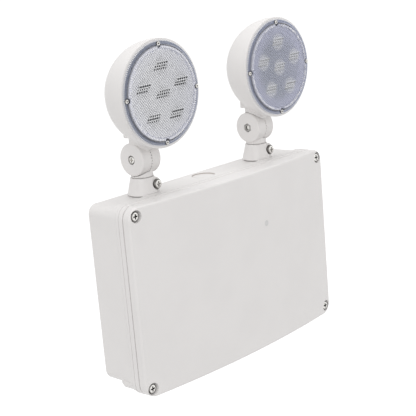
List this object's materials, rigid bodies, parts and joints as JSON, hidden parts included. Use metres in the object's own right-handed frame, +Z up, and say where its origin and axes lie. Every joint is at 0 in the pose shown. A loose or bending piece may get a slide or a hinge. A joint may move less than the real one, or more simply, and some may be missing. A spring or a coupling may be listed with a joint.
{
  "type": "emergency exit light",
  "caption": "Wall-mounted emergency light: a sealed moulded box with a crowned cover and round lamp heads on toothed tilt knuckles and swivel stems.",
  "frame": {"origin": "on the wall face of the box, midway between the four cover screws", "axes": "+X along the box, to the right as seen from the room; +Y into the wall; +Z up"},
  "size_m": [0.2444, 0.0588, 0.282],
  "materials": {
    "housing": "fine satin moulding",
    "cover": "satin, smooth moulding",
    "seal": "matt black rubber",
    "screw": "zinc-plated steel",
    "sheet": "plated sheet steel",
    "nut": "dark moulded nylon",
    "lens": "clear polycarbonate, prismatic",
    "optic": "clear acrylic",
    "window": "translucent light pipe",
    "lamp_board": "white solder-mask circuit board",
    "lamp": "yellow phosphor",
    "cells": "shrink sleeve",
    "board": "green circuit board",
    "coil": "dark laminated transformer",
    "terminal": "grey moulded terminals",
    "relay": "black moulded case"
  },
  "bodies": {
    "box": {"base_housing": "housing", "front_cover": "cover", "cover_gasket": "seal", "cover_screws": "screw", "indicator_window": "window", "battery_pack": "cells", "left_battery_strap": "sheet", "right_battery_strap": "sheet", "strap_screws": "screw", "control_board": "board", "board_screws": "screw", "transformer": "coil", "terminal_block": "terminal", "relay": "relay", "left_collar": "housing", "left_collar_washer": "seal", "left_collar_nut": "nut", "left_clamp_screw": "screw", "right_collar": "housing", "right_collar_washer": "seal", "right_collar_nut": "nut", "right_clamp_screw": "screw"},
    "left_stem_body": {"left_stem": "housing", "left_stem_clip": "sheet", "left_tilt_nut": "screw"},
    "right_stem_body": {"right_stem": "housing", "right_stem_clip": "sheet", "right_tilt_nut": "screw"},
    "left_lamp_head": {"left_head_housing": "housing", "left_tilt_screw": "screw", "left_lens": "lens", "left_lens_gasket": "seal", "left_lens_screws": "screw", "left_led_board": "lamp_board", "left_led_board_screws": "screw", "left_leds": "lamp", "left_led_optics": "optic"},
    "right_lamp_head": {"right_head_housing": "housing", "right_tilt_screw": "screw", "right_lens": "lens", "right_lens_gasket": "seal", "right_lens_screws": "screw", "right_led_board": "lamp_board", "right_led_board_screws": "screw", "right_leds": "lamp", "right_led_optics": "optic"}
  },
  "joints": [
    {"name": "left_swivel", "type": "hinge", "parent": "box", "child": "left_stem_body", "pos_m": [-0.072, -0.0168, 0.084], "axis": [0, 0, 1], "range_deg": [-45, 25]},
    {"name": "left_tilt", "type": "hinge", "parent": "left_stem_body", "child": "left_lamp_head", "pos_m": [-0.072, -0.0168, 0.1065], "axis": [1, 0, 0], "range_deg": [-3, 60]},
    {"name": "right_swivel", "type": "hinge", "parent": "box", "child": "right_stem_body", "pos_m": [0.072, -0.0168, 0.084], "axis": [0, 0, 1], "range_deg": [-25, 45]},
    {"name": "right_tilt", "type": "hinge", "parent": "right_stem_body", "child": "right_lamp_head", "pos_m": [0.072, -0.0168, 0.1065], "axis": [1, 0, 0], "range_deg": [-3, 60]}
  ]
}
